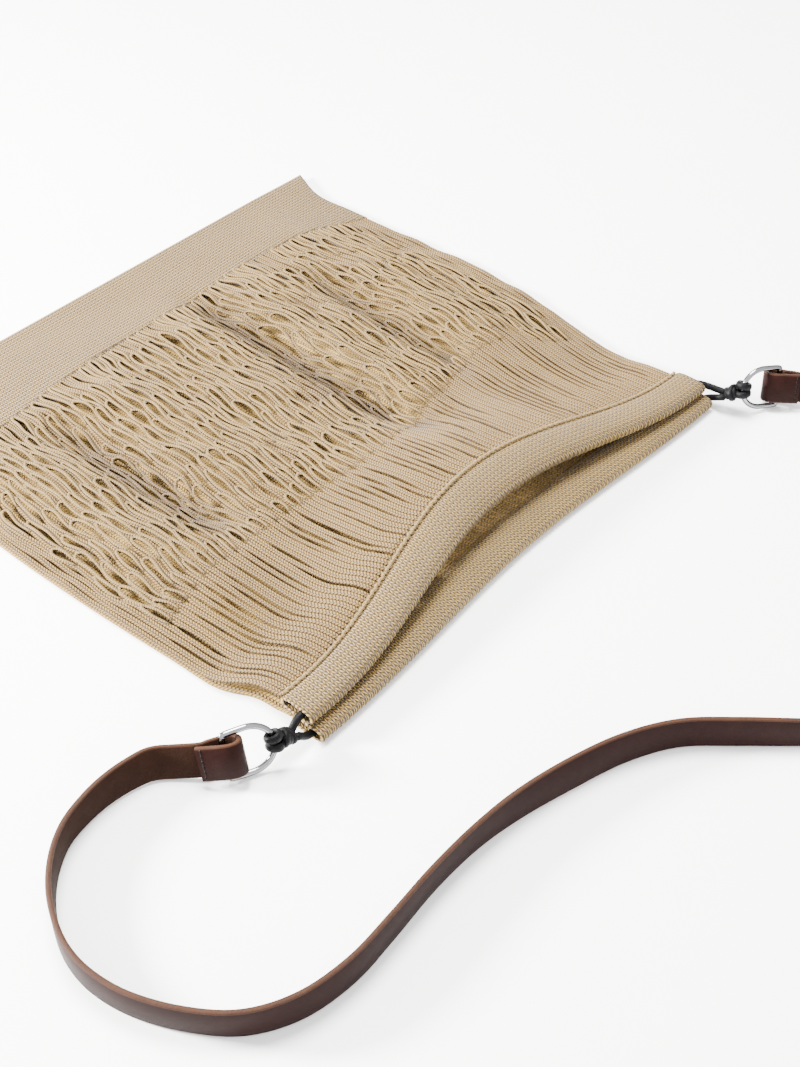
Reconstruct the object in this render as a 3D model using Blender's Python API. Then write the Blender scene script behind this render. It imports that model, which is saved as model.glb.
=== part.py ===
"""Openwork knitted shoulder bag with a leather strap, lying on its back.

Two knitted panels, sewn together along the sides and the base, make the bag. Each has a
plain band at the base, an openwork middle, a ribbed top and a hem sewn down as a channel.
A round leather cord runs through both hems and is hitched to a D-ring at each end of the
mouth. A flat leather strap, standing on its edge, is folded round the bar of each ring.

Sizes are in millimetres, in the bag's own frame: X runs along the mouth, Y from the mouth
to the base, and Z up from the surface it lies on. The pieces are then moved together, so
that the origin is below the middle of the whole thing.
"""

import math

import bpy
from mathutils import Vector

MM = 0.001

# Driving sizes
BASE_Y = 393.0  # from the line between the ends of the mouth to the base edge
MOUTH_HALF = 184.0  # half the length of the hems
CLOTH = 2.0  # thickness of the knitted cloth
SEAM_GAP = 0.3  # left between pieces that touch
HEM_HIGH = 8.8  # a hem, with its cord inside
HEM_WALL = 1.6
CORD = 4.5
TURN_HIGH = 3.2  # of a hitch's turns over the wire, where the cord is pulled flat
CORD_PLACE = 0.66  # share of the way from a hem's seam to its fold where the cord lies
WIRE = 3.5  # of the D-rings
BAR = 26.0  # a ring's straight side, between wire centres
REACH = 26.5  # from a ring's bar to the far side of its bow, between wire centres
STRAIGHT = 12.0  # of a ring's sides, before the bow begins
STRAP_WIDE = 20.0
STRAP_THICK = 3.0
MIDDLE = Vector((-54.4, 49.3, 0.0))  # of the whole thing, in the bag's frame

# The bag's sides: y, then the x of the left and of the right edge.
SIDES = (
    (-20, -190, 178),
    (12, -194, 182),
    (45, -202, 183),
    (90, -205, 190),
    (140, -208, 201),
    (200, -210, 207),
    (265, -210, 205),
    (325, -212, 203),
    (362, -213, 203),
    (393, -215, 216),
)

# The openwork's lengthwise folds: x at its base end and at its mouth end, the rise of the
# fold (a trough is negative), its half width, and the y where it starts and ends.
FOLDS = (
    (-168, -160, 1.8, 18, 130, 320),
    (-122, -116, -4.2, 11, 120, 300),
    (-70, -74, 2.4, 26, 100, 340),
    (-14, -4, 1.6, 14, 70, 250),
    (36, 29, -5.6, 10, 80, 345),
    (62, 54, 3.4, 13, 90, 330),
    (112, 100, -3.8, 10, 110, 300),
    (142, 138, 2.2, 15, 100, 300),
    (172, 170, -2.2, 8, 110, 260),
)

# The strap's lower edge from the left ring round to the right one: x, y, and how far the
# upper edge leans over from it in x and in y.
STRAP_ROUTE = (
    (-263.6, 32.5, 3.3, 6),
    (-276.4, 38.2, 2.3, 4.1),
    (-291.9, 40.6, 1.5, 2.5),
    (-306.2, 40, 0.9, 1.2),
    (-320.6, 36.8, 0, -0.1),
    (-333.6, 29.4, -1.1, -1.4),
    (-345.5, 18.4, -1.5, -2.5),
    (-355.3, 4.2, -1.1, -2.5),
    (-363.1, -14, -0.4, -1.5),
    (-365.4, -34, -0.1, -0.4),
    (-361.2, -56.8, -0.4, 0.1),
    (-349.8, -81.3, -0.5, 0.3),
    (-334, -101.8, -0.3, 0.7),
    (-311.6, -115, 0, 1.2),
    (-283.8, -120.1, 0, 1.4),
    (-254.2, -118.5, 0, 0.8),
    (-222.1, -115.6, 0.1, 0),
    (-189.8, -116.2, 0.3, 0.6),
    (-159.7, -121.5, 0.8, 3),
    (-127.7, -130.6, 1.4, 4.6),
    (-97.3, -140.5, 1.2, 3.2),
    (-70.8, -155.4, 0.9, 1.6),
    (-49.4, -178.4, 1.2, 1.2),
    (-26, -205, 0.5, 0.3),
    (4, -236, -0.5, -1.1),
    (40, -264, -0.6, -2.5),
    (82, -283, -0.1, -3.6),
    (128, -289, 0.8, -3.9),
    (172, -281, 1.9, -3.4),
    (210, -258, 3, -2.4),
    (237, -222, 3.9, -1),
    (250, -178, 4.5, 0.5),
    (251, -134, 5, 2),
    (241, -95, 5.5, 3.5),
)

# Half of the way that a strap end takes round a ring's bar, seen from above the edge:
# how far it is from the bar towards the bow, and how far to the strap's outer side.
END_FOLD = (
    (-13.5, 2.2),
    (-7.5, 3.6),
    (0, 5.2),
    (5.4, 4.9),
    (8.4, 2.2),
)
END_DROP = 0.4  # from the bar down to the strap end's tip

# Where the net's large gaps lie: columns across the panel, as shares of its width, and
# rows along it, as y. The gaps are staggered like bricks.
GAP_COLUMNS = (0.12, 0.215, 0.31, 0.405, 0.5, 0.595, 0.69, 0.785, 0.88)
GAP_ROWS = ((300, 276), (260, 236), (220, 196), (180, 156), (142, 118))
GAP_WIDE = 6.4


def ease(t):
    t = min(max(t, 0.0), 1.0)
    return t * t * (3 - 2 * t)


def mix(a, b, t):
    return a + (b - a) * t


def curve_value(rows, at):
    """The other columns of a table where its first column is at, on a smooth curve."""
    i = max(1, min(len(rows) - 1, sum(row[0] <= at for row in rows)))
    low, high = rows[i - 1], rows[i]
    before = rows[max(i - 2, 0)]
    after = rows[min(i + 1, len(rows) - 1)]
    span = high[0] - low[0]
    t = (at - low[0]) / span
    values = []
    for k in range(1, len(low)):
        start = (high[k] - before[k]) / (high[0] - before[0]) * span
        end = (after[k] - low[k]) / (after[0] - low[0]) * span
        h = (2 * t**3 - 3 * t**2 + 1, t**3 - 2 * t**2 + t, 3 * t**2 - 2 * t**3, t**3 - t**2)
        values.append(h[0] * low[k] + h[1] * start + h[2] * high[k] + h[3] * end)
    return values


def smooth_route(points, steps):
    """Points on a Catmull-Rom curve through the given vectors, steps to a stretch."""
    route = []
    for i in range(len(points) - 1):
        a, b = points[max(i - 1, 0)], points[i]
        c, d = points[i + 1], points[min(i + 2, len(points) - 1)]
        for s in range(steps):
            t = s / steps
            route.append(
                0.5 * (2 * b + (c - a) * t + (2 * a - 5 * b + 4 * c - d) * t**2
                       + (3 * b - a - 3 * c + d) * t**3)
            )
    route.append(points[-1])
    return route


def gape(x):
    """How far the mouth gapes here, from 0 at its ends to 1 in the middle."""
    return 0.5 + 0.5 * math.cos(math.pi * min(abs(x) / (MOUTH_HALF - 4), 1.0))


def front_fold_line(x):
    return Vector((x, -8 + 26 * gape(x), 13.2 + 12 * gape(x)))


def front_seam_line(x):
    return Vector((x, 15 + 29 * gape(x), 13.4 + 18 * gape(x)))


def back_fold_line(x):
    return Vector((x, -15 + 9.5 * gape(x), HEM_HIGH / 2))


def back_seam_line(x):
    return Vector((x, 8 + 9.5 * gape(x), HEM_HIGH / 2))


def front_height(x, y):
    """Height of the middle of the front panel's cloth where it isn't yet near its hem."""
    left, right = curve_value(SIDES, y)
    from_side = ease(min(x - left, right - x) / 62)
    from_base = ease((BASE_Y - y) / 110)
    lying = CLOTH * 1.5 + SEAM_GAP
    z = lying + from_side * (1.2 + 6.6 * from_base)
    z += 0.8 * math.sin((x + 0.9 * y) / 31) * ease((BASE_Y - y) / 30) * ease((y - 300) / 40) * from_side
    for base_x, mouth_x, rise, half, start, end in FOLDS:
        middle = mix(mouth_x, base_x, (y - start) / (end - start))
        along = ease((y - start) / 45) * ease((end - y) / 60)
        z += rise * along * from_side * math.exp(-(((x - middle) / half) ** 2))
    rise_from = mix(78, 150, gape(x))
    seam = front_seam_line(x)
    return mix(z, seam.z, ease((rise_from - y) / (rise_from - seam.y)))


def panel_columns(fill):
    """Shares of a panel's width: the two edges of each gap column, and fill between them."""
    half = GAP_WIDE / (2 * 2 * MOUTH_HALF * 1.1)
    stops = [0.0]
    for middle in GAP_COLUMNS:
        stops += [middle - half, middle + half]
    stops.append(1.0)
    columns = []
    for i in range(0, len(stops), 2):
        columns += [mix(stops[i], stops[i + 1], k / fill) for k in range(fill + 1)]
    return columns


def panel_rows(band, rib):
    """Rows of y from the base edge to the start of the ribbed top: band rows, then gaps."""
    rows = [mix(BASE_Y, 325, k / band) for k in range(band)] + [325.0]
    for top, bottom in GAP_ROWS:
        rows += [top, bottom]
    return rows + [mix(110, 60, k / rib) for k in range(rib + 1)]


def is_gap(column, row, fill, rows):
    """Is this cell one of the net's large gaps?"""
    place, spot = divmod(column + 1, fill + 1)
    if spot or not 1 <= place <= len(GAP_COLUMNS):
        return False
    starts = [top for top, _ in GAP_ROWS]
    return rows[row] in starts and starts.index(rows[row]) % 2 == place % 2


def full(wave):
    """A sine or cosine made fuller, which turns an oval section into one with blunt ends."""
    return math.copysign(abs(wave) ** 0.72, wave)


def hem_rings(fold, seam, sides):
    """Outer and inner corners of a hem's flattened tube, from its seam side round."""
    forward = fold - seam
    half = forward.length / 2
    forward.normalize()
    upward = Vector((1, 0, 0)).cross(-forward)
    centre = (fold + seam) / 2
    outer, inner = [], []
    for k in range(sides):
        angle = math.pi + (k - 0.5) * 2 * math.pi / sides
        along, over = full(math.cos(angle)), -full(math.sin(angle))
        outer.append(centre + forward * along * half + upward * over * HEM_HIGH / 2)
        inner.append(
            centre + forward * along * (half - HEM_WALL)
            + upward * over * (HEM_HIGH / 2 - HEM_WALL)
        )
    return outer, inner


def material(name, colour, roughness, metallic=0.0):
    made = bpy.data.materials.new(name)
    made.use_nodes = True
    shader = made.node_tree.nodes["Principled BSDF"]
    shader.inputs["Base Color"].default_value = (*colour, 1.0)
    shader.inputs["Roughness"].default_value = roughness
    shader.inputs["Metallic"].default_value = metallic
    made.diffuse_color = (*colour, 1.0)
    return made


def add_object(name, points, faces, look):
    mesh = bpy.data.meshes.new(name)
    mesh.from_pydata([(p - MIDDLE) * MM for p in points], [], faces)
    mesh.shade_smooth()
    mesh.set_sharp_from_angle(angle=math.radians(40))
    mesh.materials.append(look)
    made = bpy.data.objects.new(name, mesh)
    bpy.context.scene.collection.objects.link(made)
    return made


def skin_of(blocks):
    """The outside of a body built from eight-cornered blocks that share whole sides.

    A block lists the corners of one end, turning right as seen from outside that end,
    and then the corners of the other end that face them.
    """
    sides = ((3, 2, 1, 0), (4, 5, 6, 7), (0, 1, 5, 4), (1, 2, 6, 5), (2, 3, 7, 6), (3, 0, 4, 7))
    found = {}
    for block in blocks:
        for side in sides:
            face = tuple(block[k] for k in side)
            key = frozenset(face)
            if key in found:
                del found[key]
            else:
                found[key] = face
    return list(found.values())


def panel(name, look, fill, rows, height_of, fold_line, seam_line, sides):
    """One knitted panel with its gaps, and its hem as an open channel at the mouth."""
    columns = panel_columns(fill)
    points, number, blocks = [], {}, []

    def corner(key, place):
        if key not in number:
            number[key] = len(points)
            points.append(place)
        return number[key]

    def cloth_point(i, j, level):
        y = rows[j]
        seam = seam_line(mix(-MOUTH_HALF, MOUTH_HALF, columns[i]))
        near_mouth = ease((110 - y) / 50)
        y = mix(y, seam.y + (y - 15) * 0.45, near_mouth)
        left, right = curve_value(SIDES, y)
        x = mix(left, right, columns[i])
        return Vector((x, y, height_of(x, y) + (level - 0.5) * CLOTH))

    last = len(rows) - 1
    for i in range(len(columns)):
        mouth_x = mix(*curve_value(SIDES, 0), columns[i])
        outer, inner = hem_rings(fold_line(mouth_x), seam_line(mouth_x), sides)
        for j in range(last + 1):
            for level in (0, 1):
                corner((i, j, level), cloth_point(i, j, level))
        for k in range(sides):
            corner((i, "outer", k), outer[k])
            corner((i, "inner", k), inner[k])
    for i in range(len(columns) - 1):
        for j in range(last):
            if is_gap(i, j, fill, rows):
                continue
            ends = [
                [number[n, j, 0], number[n, j, 1], number[n, j + 1, 1], number[n, j + 1, 0]]
                for n in (i, i + 1)
            ]
            blocks.append(ends[0] + ends[1])
        ends = [
            [number[n, last, 0], number[n, last, 1], number[n, "outer", 1], number[n, "outer", 0]]
            for n in (i, i + 1)
        ]
        blocks.append(ends[0] + ends[1])
        for k in range(sides):
            after = (k + 1) % sides
            ends = [
                [number[n, "outer", k], number[n, "outer", after],
                 number[n, "inner", after], number[n, "inner", k]]
                for n in (i, i + 1)
            ]
            blocks.append(ends[0] + ends[1])
    return add_object(name, points, skin_of(blocks), look)


def tube(name, route, thick, look):
    """A round cord along a route, as a curve with a round bevel and filled ends."""
    curve = bpy.data.curves.new(name, "CURVE")
    curve.dimensions = "3D"
    curve.bevel_depth = thick / 2 * MM
    curve.bevel_resolution = 2
    curve.use_fill_caps = True
    spline = curve.splines.new("POLY")
    spline.points.add(len(route) - 1)
    for point, place in zip(spline.points, route):
        point.co = (*((place - MIDDLE) * MM), 1.0)
    curve.materials.append(look)
    made = bpy.data.objects.new(name, curve)
    bpy.context.scene.collection.objects.link(made)
    return made


def ring_frame(bar_middle, bar_along, towards_bow):
    """The ring's middle of the bar, and unit vectors along the bar, to the bow and out."""
    up = Vector(bar_along).normalized()
    bow = Vector(towards_bow)
    bow = (bow - up * bow.dot(up)).normalized()
    return Vector(bar_middle), up, bow, up.cross(bow)


def bow_point(frame, turn):
    """Where the wire's middle is on the ring's round side, turn radians from the top."""
    middle, up, bow, _ = frame
    out = STRAIGHT + (REACH - STRAIGHT) * math.sin(turn)
    return middle + up * (BAR / 2) * math.cos(turn) + bow * out


def ring_route(frame):
    """The middle of the wire all round a D-ring: bar, corner, bow, corner."""
    middle, up, bow, _ = frame
    route = [middle + up * BAR * share for share in (-0.36, -0.12, 0.12, 0.36)]
    corner_round = ((0.44, 0.35), (0.49, 1.6))
    route += [middle + up * BAR * share + bow * out for share, out in corner_round]
    steps = 18
    route += [bow_point(frame, math.pi * k / steps) for k in range(steps + 1)]
    route += [middle - up * BAR * share + bow * out for share, out in reversed(corner_round)]
    return route


def d_ring(name, frame, look, around=8):
    """A closed D of round wire."""
    route = ring_route(frame)
    out = frame[3]
    count = len(route)
    points, faces = [], []
    for i, place in enumerate(route):
        along = (route[(i + 1) % count] - route[i - 1]).normalized()
        inward = out.cross(along)
        for k in range(around):
            angle = 2 * math.pi * (k + 0.5) / around
            points.append(place + (inward * math.cos(angle) + out * math.sin(angle)) * WIRE / 2)
    for i in range(count):
        for k in range(around):
            a, b = i * around + k, i * around + (k + 1) % around
            c, d = (i + 1) % count * around + (k + 1) % around, (i + 1) % count * around + k
            faces.append((a, b, c, d))
    return add_object(name, points, faces, look)


def hitch(name, frame, tail, look):
    """The cord's hitch on a ring: two turns round the wire, drawn into a collar at tail."""
    around, steps = 12, 6
    half_turn = math.radians(24)
    points, number, blocks = [], {}, []
    for i in range(steps + 1):
        turn = math.pi / 2 + mix(-half_turn, half_turn, i / steps)
        place = bow_point(frame, turn)
        along = (bow_point(frame, turn + 0.01) - bow_point(frame, turn - 0.01)).normalized()
        inward = frame[3].cross(along)
        edge = abs(2 * i / steps - 1)
        groove = 0.5 * (1 - min(edge * 4, 1.0))
        outer = WIRE / 2 + SEAM_GAP + 0.2 + TURN_HIGH * math.sqrt(1.06 - edge**2.4) - groove
        for k in range(around):
            angle = 2 * math.pi * k / around
            ray = inward * math.cos(angle) + frame[3] * math.sin(angle)
            for level, radius in ((0, WIRE / 2 + SEAM_GAP + 0.15), (1, outer)):
                number[i, k, level] = len(points)
                points.append(place + ray * radius)
    for i in range(steps):
        for k in range(around):
            after = (k + 1) % around
            ends = [
                [number[n, k, 0], number[n, k, 1], number[n, after, 1], number[n, after, 0]]
                for n in (i, i + 1)
            ]
            blocks.append(ends[0] + ends[1])
    turns = add_object(name, points, skin_of(blocks), look)

    apex = bow_point(frame, math.pi / 2)
    start = apex + (tail - apex).normalized() * (WIRE / 2 + 2.6)
    axis = (tail - start).normalized()
    side = axis.cross(Vector((0, 0, 1))).normalized()
    over = side.cross(axis)
    collar_points, collar_faces = [], []
    stations = ((0.0, 4.6, 4.0), (0.35, 5.6, 4.9), (0.62, 5.3, 4.4), (0.85, 4.9, 3.2), (1.0, 4.2, 2.4))
    for share, wide, high in stations:
        for k in range(around):
            angle = 2 * math.pi * k / around
            collar_points.append(
                start + (tail - start) * share
                + side * wide * math.cos(angle) + over * high * math.sin(angle)
            )
    for i in range(len(stations) - 1):
        for k in range(around):
            after = (k + 1) % around
            collar_faces.append(
                (i * around + k, i * around + after, (i + 1) * around + after, (i + 1) * around + k)
            )
    collar_faces.append(tuple(reversed(range(around))))
    collar_faces.append(tuple((len(stations) - 1) * around + k for k in range(around)))
    collar = add_object(name + "_collar", collar_points, collar_faces, look)
    collar.hide_render = True
    collar.display_type = "WIRE"
    union = turns.modifiers.new("collar", "BOOLEAN")
    union.operation = "UNION"
    union.object = collar
    return turns


def strap_end(frame, leaving, turn):
    """Middle line and edge direction of a strap end, from its sewn tip round the bar.

    The strap leaves the ring in the given direction. Turn is 1 or -1: the tip's side.
    """
    middle, up, _, _ = frame
    ahead = -Vector(leaving)
    ahead = (ahead - up * ahead.dot(up)).normalized()
    out = up.cross(ahead) * turn
    rows = list(END_FOLD) + [(far, -wide) for far, wide in reversed(END_FOLD)]
    stations = []
    for far, wide in rows:
        lower = Vector((0, 0, END_DROP * ease(far / END_FOLD[0][0])))
        stations.append((middle + ahead * far + out * wide - lower, up))
    return stations


def strap(name, stations, look, steps=3):
    """The flat strap: one strip of leather, standing on its edge, through its stations."""
    middles = smooth_route([place for place, _ in stations], steps)
    uprights = smooth_route([up for _, up in stations], steps)
    points, blocks = [], []
    for i, (middle, up) in enumerate(zip(middles, uprights)):
        along = middles[min(i + 1, len(middles) - 1)] - middles[max(i - 1, 0)]
        up = (up - along * up.dot(along) / along.length_squared).normalized()
        face = along.normalized().cross(up)
        low = middle - up * STRAP_WIDE / 2
        lowest = low.z - abs(face.z) * STRAP_THICK / 2
        lift = Vector((0, 0, max(-lowest, 0.0)))
        for height, depth in ((-1, -1), (1, -1), (1, 1), (-1, 1)):
            points.append(
                middle + lift + up * height * STRAP_WIDE / 2 + face * depth * STRAP_THICK / 2
            )
    for i in range(len(middles) - 1):
        a, b = 4 * i, 4 * (i + 1)
        blocks.append([a, a + 1, a + 2, a + 3, b, b + 1, b + 2, b + 3])
    return add_object(name, points, skin_of(blocks), look)


def strap_stations(left, right):
    """The whole strap: left end, the route, right end."""
    stations = strap_end(left, (-0.68, 0.73, 0), -1)
    for x, y, lean_x, lean_y in STRAP_ROUTE:
        rise = math.sqrt(STRAP_WIDE**2 - lean_x**2 - lean_y**2)
        up = Vector((lean_x, lean_y, rise)) / STRAP_WIDE
        stations.append((Vector((x, y, 0)) + up * STRAP_WIDE / 2, up))
    return stations + list(reversed(strap_end(right, (0.54, -0.84, 0), 1)))


def hem_cord_route(fold_line, seam_line, left_end, right_end, points=31):
    """The cord's route: out of a hitch, along a hem near its fold, and into the other."""
    left, right = curve_value(SIDES, 0)
    inside = []
    for k in range(points):
        x = mix(left - 2, right + 2, k / (points - 1))
        inside.append(seam_line(x).lerp(fold_line(x), CORD_PLACE))
    return [left_end] + inside + [right_end]


def strand_ends(frame, tail, turn):
    """Where the front and the back strand end, side by side, just short of a hitch."""
    away = tail - bow_point(frame, math.pi / 2)
    away.z = 0.0
    away.normalize()
    apart = away.cross(Vector((0, 0, turn))) * 2.75 + Vector((0, 0, 0.6))
    start = tail + away * 2.4
    return start + apart, start - apart


def clear_scene():
    for old in list(bpy.data.objects):
        bpy.data.objects.remove(old, do_unlink=True)


def build():
    clear_scene()
    knit = material("knit", (0.68, 0.55, 0.38), 0.9)
    leather = material("leather", (0.07, 0.035, 0.03), 0.45)
    cord = material("cord", (0.02, 0.02, 0.022), 0.5)
    chrome = material("chrome", (0.8, 0.8, 0.82), 0.12, 1.0)

    front_rows = panel_rows(4, 4)
    back_rows = panel_rows(2, 2)
    panel("back_panel", knit, 1, back_rows, lambda x, y: CLOTH / 2,
          back_fold_line, back_seam_line, 10)
    panel("front_panel", knit, 3, front_rows, front_height,
          front_fold_line, front_seam_line, 10)

    left = ring_frame((-238.6, 8.7, 14.3), (0.16, 0.36, 0.92), (0.903, -0.43, 0))
    right = ring_frame((213.9, -42.4, 14.5), (0.26, 0.18, 0.95), (-0.889, 0.458, 0))
    d_ring("ring_left", left, chrome)
    d_ring("ring_right", right, chrome)

    left_tail = Vector((-203.5, -3.6, 9.6))
    right_tail = Vector((187.0, -19.5, 11.0))
    hitch("hitch_left", left, left_tail, cord)
    hitch("hitch_right", right, right_tail, cord)

    left_high, left_low = strand_ends(left, left_tail, -1)
    right_high, right_low = strand_ends(right, right_tail, 1)
    tube("cord_front", hem_cord_route(front_fold_line, front_seam_line,
         left_high, right_high), CORD, cord)
    tube("cord_back", hem_cord_route(back_fold_line, back_seam_line,
         left_low, right_low), CORD, cord)

    strap("strap", strap_stations(left, right), leather)


build()
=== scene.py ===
"""Openwork knitted shoulder bag with a leather strap, lying on its back on a pale table."""
import math
import random

import bpy
import numpy as np
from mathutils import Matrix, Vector


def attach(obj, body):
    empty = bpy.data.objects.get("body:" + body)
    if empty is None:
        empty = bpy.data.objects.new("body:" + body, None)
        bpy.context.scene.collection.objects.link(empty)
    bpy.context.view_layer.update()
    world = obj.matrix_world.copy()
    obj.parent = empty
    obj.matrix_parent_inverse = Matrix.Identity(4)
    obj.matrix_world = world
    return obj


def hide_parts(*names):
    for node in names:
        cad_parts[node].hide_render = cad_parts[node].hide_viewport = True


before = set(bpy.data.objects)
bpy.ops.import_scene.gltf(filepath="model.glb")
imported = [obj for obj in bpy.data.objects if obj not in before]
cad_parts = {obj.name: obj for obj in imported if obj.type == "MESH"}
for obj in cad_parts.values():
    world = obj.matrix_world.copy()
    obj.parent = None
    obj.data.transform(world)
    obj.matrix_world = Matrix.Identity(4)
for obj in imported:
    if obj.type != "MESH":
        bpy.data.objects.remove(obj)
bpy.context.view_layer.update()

# ---- The table, the light and the camera ----
# A plain white table top under a wide soft lamp, with a smaller lamp from the far left
# for the soft shadows in the openwork. The camera looks down on the bag from beside its
# mouth, as a person does who stands at the table.
MIDDLE = np.array((-54.4, 49.3, 0.0))


def at(x, y, z):
    """A place in the bag's own millimetres, X along its mouth and Y to its base, in metres."""
    return tuple((np.array((x, y, z)) - MIDDLE) / 1000)


def lamp(name, place, aim, size, watts, warmth):
    """A round lamp in the given place, turned to what it lights."""
    light = bpy.data.lights.new(name, "AREA")
    light.shape = "DISK"
    light.size = size
    light.energy = watts
    light.color = warmth
    made = bpy.data.objects.new(name, light)
    made.location = at(*place)
    made.rotation_mode = "QUATERNION"
    made.rotation_quaternion = (Vector(at(*aim)) - made.location).to_track_quat("-Z", "Y")
    bpy.context.scene.collection.objects.link(made)


lamp("wide_lamp", place=(150, 500, 1700), aim=(0, 100, 0), size=0.8, watts=150.0,
     warmth=(1.0, 0.99, 0.97))
lamp("side_lamp", place=(-900, 1000, 520), aim=(0, 150, 0), size=0.3, watts=200.0,
     warmth=(1.0, 0.98, 0.95))

ROOM_WHITE = (1.0, 1.0, 1.0, 1.0)
ROOM_LIGHT = 2.45
sky = bpy.data.worlds.new("pale_room")
sky.use_nodes = True
walls = sky.node_tree.nodes["Background"]
walls.inputs["Color"].default_value = ROOM_WHITE
walls.inputs["Strength"].default_value = ROOM_LIGHT
bpy.context.scene.world = sky

TABLE_WIDE = 8.0
TABLE_DOWN = 0.0004  # the bag lies this far above the table top
TABLE_WHITE = (0.97, 0.97, 0.97, 1.0)
bpy.ops.mesh.primitive_plane_add(size=TABLE_WIDE, location=(0, 0, -TABLE_DOWN))
table = bpy.context.active_object
table.name = "table_top"
table_white = bpy.data.materials.new("table white")
table_white.use_nodes = True
paint = table_white.node_tree.nodes["Principled BSDF"]
paint.inputs["Base Color"].default_value = TABLE_WHITE
paint.inputs["Roughness"].default_value = 0.9
table.data.materials.append(table_white)

EYE = (-548.9, -379.6, 629.8)
LOOKS_AT = (-43.54, 61.29, 0)
camera = bpy.data.objects.new("camera", bpy.data.cameras.new("camera"))
camera.data.sensor_width = 36.0
camera.data.lens = 51.62
camera.location = at(*EYE)
camera.rotation_mode = "QUATERNION"
camera.rotation_quaternion = (Vector(at(*LOOKS_AT)) - camera.location).to_track_quat("-Z", "Y")
bpy.context.scene.collection.objects.link(camera)
bpy.context.scene.camera = camera


# ---- The front panel's openwork and ribs ----
# One knitted panel: about ninety lengthwise ribs, two ropes of stitches each, that join
# their left and their right neighbour in turn, which leaves rows of long loops. Near the
# mouth the ribs run side by side up to the hem. They lie in the bag's loose folds.
RIBS = 92
BORDER_RIBS = 3
ROWS = 10
CLOTH = 2.0
BASE_Y = 393.0
MOUTH_HALF = 184.0
FIRST_RIB, LAST_RIB = -206.0, 196.0  # about where they run, as x
HEM_HIGH = 8.8
SIDES = (
    # y, left edge x, right edge x
    (-20, -190, 178),
    (12, -194, 182),
    (45, -202, 183),
    (90, -205, 190),
    (140, -208, 201),
    (200, -210, 207),
    (265, -210, 205),
    (325, -212, 203),
    (362, -213, 203),
    (393, -215, 216),
)
FOLDS = (
    # x at the base end, x at the mouth end, rise, half width, y start, y end
    (-168, -160, 1.8, 18, 130, 320),
    (-122, -116, -5.6, 12, 110, 310),
    (-70, -74, 2.4, 26, 100, 340),
    (-14, -4, 1.6, 14, 70, 250),
    (36, 29, -6.8, 11, 75, 350),
    (62, 54, 3.9, 13, 90, 330),
    (112, 100, -4.8, 10, 105, 305),
    (142, 138, 2.2, 15, 100, 300),
    (172, 170, -2.2, 8, 110, 260),
)
FOLD_DEEP = 1.28  # how much deeper than drawn the folds lie
DEEP_DIP = -3.0  # a fold that drops more than this gets painted shade in its dip
CLOTH_REST = 3.2  # the lowest that the front panel's middle comes over the back panel
# Where the openwork starts below the base band, and where it gives way to the ribs, as x, y.
OPENWORK_TOP = ((-215, 304), (-190, 307), (-134, 311), (-101, 316), (-57, 321), (-9, 323),
                (47, 326), (99, 327), (144, 323), (192, 310), (216, 303))
OPENWORK_FOOT = ((-215, 98), (-192, 104), (-107, 114), (-55, 108), (20, 108), (70, 121),
                 (115, 128), (150, 117), (169, 101), (216, 84))


def ease(t):
    """From 0 to 1, with a soft start and a soft end."""
    t = np.clip(t, 0.0, 1.0)
    return t * t * (3 - 2 * t)


def mix(a, b, t):
    """The value a share of the way from one to another."""
    return a + (b - a) * t


def smooth_lookup(rows, column, at_value):
    """A column of a table at the first column's values, on a smooth curve through the rows."""
    rows = np.array(rows, float)
    known, wanted = rows[:, 0], rows[:, column]
    slopes = np.gradient(wanted, known)
    at_value = np.clip(at_value, known[0], known[-1])
    i = np.clip(np.searchsorted(known, at_value) - 1, 0, len(known) - 2)
    span = known[i + 1] - known[i]
    t = (at_value - known[i]) / span
    return ((2 * t**3 - 3 * t**2 + 1) * wanted[i] + (t**3 - 2 * t**2 + t) * span * slopes[i]
            + (3 * t**2 - 2 * t**3) * wanted[i + 1] + (t**3 - t**2) * span * slopes[i + 1])


def gape(x):
    """How far the mouth gapes here, from 0 at its ends to 1 in the middle."""
    return 0.5 + 0.5 * np.cos(np.pi * np.minimum(np.abs(x) / (MOUTH_HALF - 4), 1.0))


def front_fold_line(x):
    """Y and height of the middle of the front hem's fold."""
    return -8 + 26 * gape(x), 13.2 + 12 * gape(x)


def front_seam_line(x):
    """Y and height of the front hem's seam."""
    return 15 + 29 * gape(x), 13.4 + 18 * gape(x)


def folds_at(x, y):
    """For each fold: its rise, its half width, how far aside of it a place lies, and how much
    of the fold is left there."""
    for base_x, mouth_x, rise, half, start, end in FOLDS:
        middle = mix(mouth_x, base_x, (y - start) / (end - start))
        yield rise, half, x - middle, ease((y - start) / 45) * ease((end - y) / 60)


def front_height(x, y):
    """Height of the middle of the front panel's cloth."""
    left, right = smooth_lookup(SIDES, 1, y), smooth_lookup(SIDES, 2, y)
    from_side = ease(np.minimum(x - left, right - x) / 62)
    from_base = ease((BASE_Y - y) / 110)
    z = CLOTH * 1.5 + 0.3 + from_side * (1.2 + 6.6 * from_base)
    wave = ease((BASE_Y - y) / 30) * ease((y - 300) / 40) * from_side
    z = z + 0.8 * np.sin((x + 0.9 * y) / 31) * wave
    for rise, half, aside, along in folds_at(x, y):
        z = z + FOLD_DEEP * rise * along * from_side * np.exp(-((aside / half) ** 2))
    z = (z + CLOTH_REST + np.sqrt((z - CLOTH_REST) ** 2 + 1.0)) / 2
    rise_from = mix(78, 150, gape(x))
    seam_y, seam_z = front_seam_line(x)
    return mix(z, seam_z, ease((rise_from - y) / (rise_from - seam_y)))


def painted_dip_shade(x, y):
    """How much painted shade a place gets in a fold's dip, where less light would reach the yarn: 0 to about
    1.
    """
    shade = 0.0 * x
    for rise, half, aside, along in folds_at(x, y):
        if rise < DEEP_DIP:
            shade = shade - rise / 6.5 * along * np.exp(-((aside / (half * 0.9)) ** 2))
    return shade


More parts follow.
